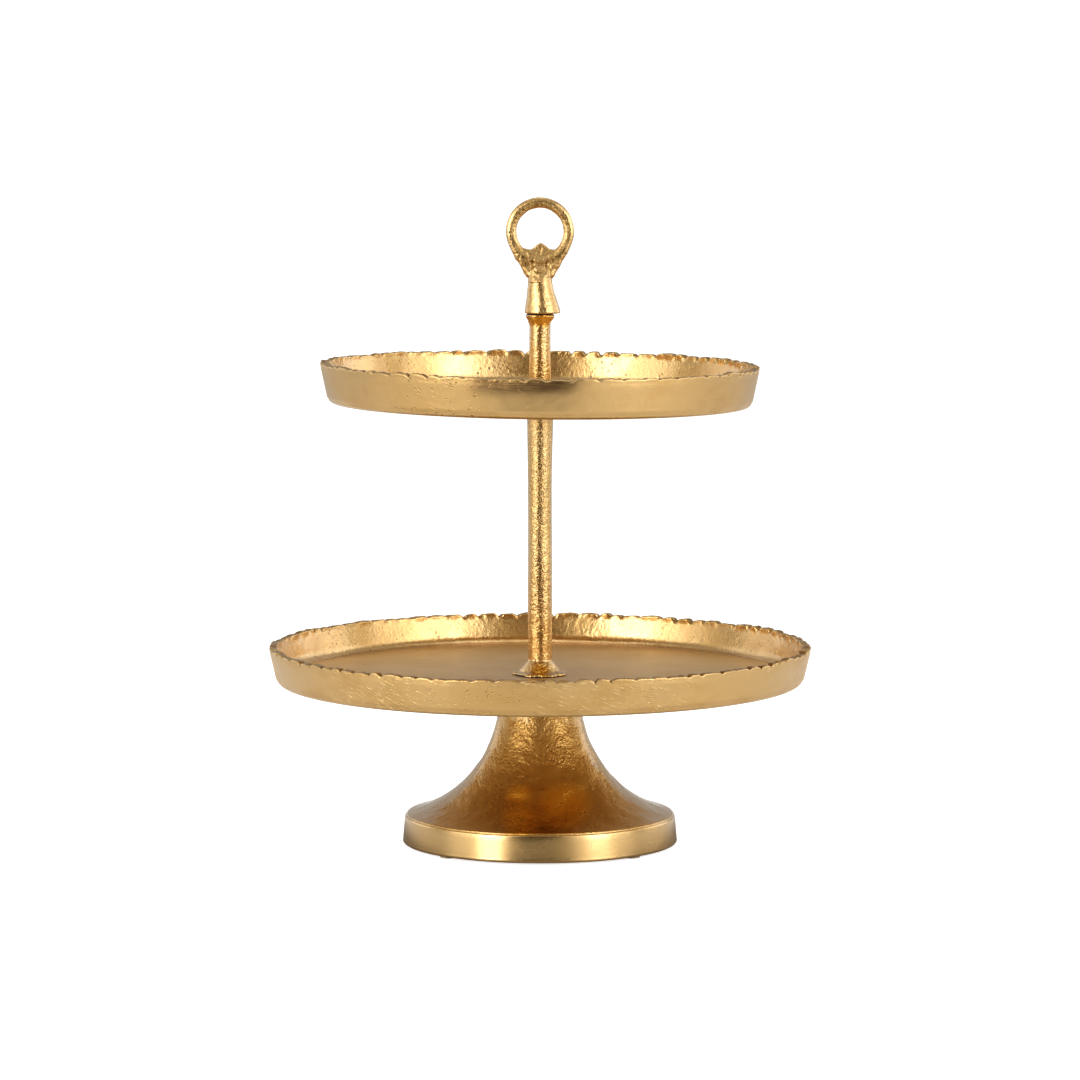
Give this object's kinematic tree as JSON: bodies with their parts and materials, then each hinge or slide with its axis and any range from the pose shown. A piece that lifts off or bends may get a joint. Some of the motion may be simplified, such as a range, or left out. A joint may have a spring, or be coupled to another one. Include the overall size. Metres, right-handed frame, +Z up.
{
  "type": "tiered cake stand",
  "caption": "Tiered cake stand with shallow round trays on a flared pedestal foot, joined by slim posts and topped by a ring handle.",
  "frame": {"origin": "centre of the stand, on the surface it stands on", "axes": "+Z up the posts' axis, the handle's ring lies in the XZ plane and is seen face on along +Y"},
  "size_m": [0.31, 0.31, 0.3696],
  "materials": {
    "gold_casting": "sand-cast, ground and brushed, gold finish",
    "zinc_steel": "zinc plated",
    "soft_washer": "matt",
    "felt": "pressed felt"
  },
  "bodies": {
    "foot": {"foot": "gold_casting", "felt_pads": "felt", "base_bolt": "zinc_steel", "spring_washer": "zinc_steel", "base_washer": "zinc_steel"},
    "lower_tray": {"lower_tray": "gold_casting"},
    "lower_rise": {"lower_tray_washer": "soft_washer"},
    "lower_post": {"lower_post": "gold_casting"},
    "upper_tray": {"upper_tray": "gold_casting"},
    "upper_rise": {"upper_tray_washer": "soft_washer"},
    "upper_post": {"upper_post": "gold_casting", "middle_stud": "zinc_steel"},
    "handle_rise": {"handle_washer": "soft_washer"},
    "handle": {"handle": "gold_casting", "handle_stud": "zinc_steel"}
  },
  "joints": [
    {"name": "lower_tray_lift", "type": "slide", "parent": "foot", "child": "lower_tray", "axis": [0, 0, 1], "range_m": [0, 0.04]},
    {"name": "lower_post_rise", "type": "slide", "parent": "lower_tray", "child": "lower_rise", "axis": [0, 0, 1], "range_m": [0, 0.0095]},
    {"name": "lower_post_turn", "type": "hinge", "parent": "lower_rise", "child": "lower_post", "pos_m": [0, 0, 0.0978], "axis": [0, 0, 1], "range_deg": [0, 3330]},
    {"name": "upper_tray_lift", "type": "slide", "parent": "lower_post", "child": "upper_tray", "axis": [0, 0, 1], "range_m": [0, 0.03]},
    {"name": "upper_post_rise", "type": "slide", "parent": "upper_tray", "child": "upper_rise", "axis": [0, 0, 1], "range_m": [0, 0.0095]},
    {"name": "upper_post_turn", "type": "hinge", "parent": "upper_rise", "child": "upper_post", "pos_m": [0, 0, 0.2568], "axis": [0, 0, 1], "range_deg": [0, 3330]},
    {"name": "handle_rise", "type": "slide", "parent": "upper_post", "child": "handle_rise", "axis": [0, 0, 1], "range_m": [0, 0.0095]},
    {"name": "handle_turn", "type": "hinge", "parent": "handle_rise", "child": "handle", "pos_m": [0, 0, 0.3039], "axis": [0, 0, 1], "range_deg": [0, 3330]}
  ],
  "couplings": [
    {"joint": "lower_post_rise", "follows": "lower_post_turn", "m_per_rad": 0.00015915},
    {"joint": "upper_post_rise", "follows": "upper_post_turn", "m_per_rad": 0.00015915},
    {"joint": "handle_rise", "follows": "handle_turn", "m_per_rad": 0.00015915}
  ]
}
